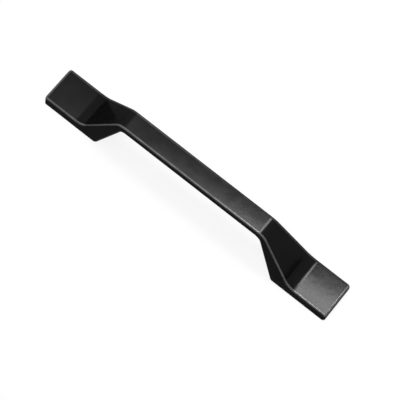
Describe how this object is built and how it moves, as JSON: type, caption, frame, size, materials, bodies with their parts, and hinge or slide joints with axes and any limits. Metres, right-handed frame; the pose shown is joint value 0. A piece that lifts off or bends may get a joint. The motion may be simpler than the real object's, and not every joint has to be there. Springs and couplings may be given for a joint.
{
  "type": "cabinet pull",
  "caption": "Cast cabinet pull with flat feet, sloping tapered legs and a narrow raised grip bar, satin black, screwed on from behind the door or drawer front.",
  "frame": {"origin": "middle of the mounting plane, halfway between the two screw holes", "axes": "+X along the grip, +Z out from the door towards the grip, +Y across the pull"},
  "size_m": [0.142, 0.0176, 0.0274],
  "materials": {
    "black_coating": "satin black coating on a zinc casting"
  },
  "bodies": {
    "root": {"pull_handle": "black_coating"}
  },
  "joints": []
}
